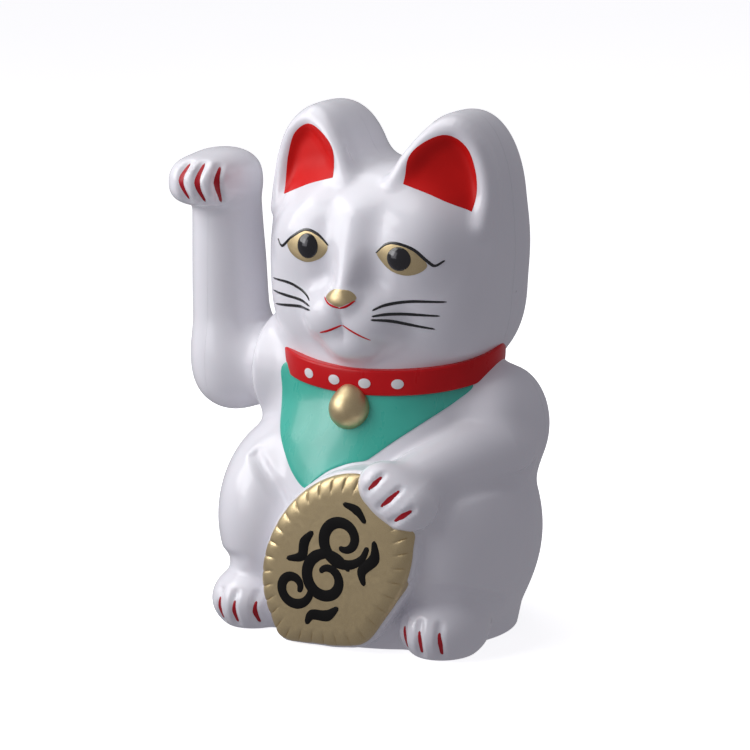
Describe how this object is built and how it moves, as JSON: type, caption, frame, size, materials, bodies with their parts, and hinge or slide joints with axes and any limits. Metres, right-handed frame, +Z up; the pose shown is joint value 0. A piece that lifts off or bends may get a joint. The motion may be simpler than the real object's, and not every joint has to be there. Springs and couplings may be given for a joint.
{
  "type": "beckoning cat figurine",
  "caption": "Glossy white beckoning cat with a swinging raised arm, red collar, teal bib and a gold oval coin, driven by a dry cell in its base.",
  "frame": {"origin": "middle of the flat underside, on the table, in the cat's middle plane", "axes": "+Z up; -Y is the way the cat faces; +X is the cat's own left, so the raised right arm is at -X"},
  "size_m": [0.122, 0.092, 0.16],
  "materials": {
    "white_shell": "glossy moulded white",
    "base_plastic": "fine moulded texture",
    "frame_plastic": "satin moulded green",
    "zinc_steel": "zinc plated",
    "axle_steel": "ground and polished",
    "bush_brass": "turned",
    "spring_steel": "nickel plated",
    "cell_jacket": "plain wrap, bright ends",
    "magnet_nickel": "nickel plated",
    "bobbin_plastic": "natural nylon",
    "copper_wire": "enamelled copper",
    "board_laminate": "brown laminate with copper tracks",
    "chip_black": "moulded epoxy",
    "capacitor_sleeve": "shrunk sleeve",
    "resistor_body": "glazed film",
    "lead_red": "PVC insulation",
    "lead_black": "PVC insulation",
    "red_paint": "glossy red paint",
    "teal_paint": "satin teal paint",
    "gold_paint": "metallic gold paint",
    "black_paint": "glossy black paint",
    "white_paint": "glossy white paint",
    "claw_paint": "thin red paint"
  },
  "bodies": {
    "figure": {"front_shell": "white_shell", "rear_shell": "white_shell", "base_plate": "base_plastic", "base_screws": "zinc_steel", "frame_screws": "zinc_steel", "dry_cell": "cell_jacket", "battery_spring": "spring_steel", "positive_contact": "spring_steel", "negative_contact": "spring_steel", "mechanism_frame": "frame_plastic", "outboard_bush": "bush_brass", "inboard_bush": "bush_brass", "coil_bobbin": "bobbin_plastic", "coil_winding": "copper_wire", "circuit_board": "board_laminate", "drive_chip": "chip_black", "capacitor": "capacitor_sleeve", "resistors": "resistor_body", "red_lead": "lead_red", "black_lead": "lead_black"},
    "swing_arm": {"arm_inner_half": "white_shell", "arm_outer_half": "white_shell", "arm_axle": "axle_steel", "pendulum_lever": "frame_plastic", "counterweight": "zinc_steel", "pendulum_magnet": "magnet_nickel", "retaining_clips": "zinc_steel"},
    "battery_door": {"battery_door": "base_plastic"}
  },
  "joints": [
    {"name": "arm_swing", "type": "hinge", "parent": "figure", "child": "swing_arm", "pos_m": [0, 0, 0.076], "axis": [1, 0, 0], "range_deg": [-16, 16]},
    {"name": "battery_door_hinge", "type": "hinge", "parent": "figure", "child": "battery_door", "pos_m": [-0.0272, 0.004, 0.0003], "axis": [0, 1, 0], "range_deg": [0, 75]}
  ]
}
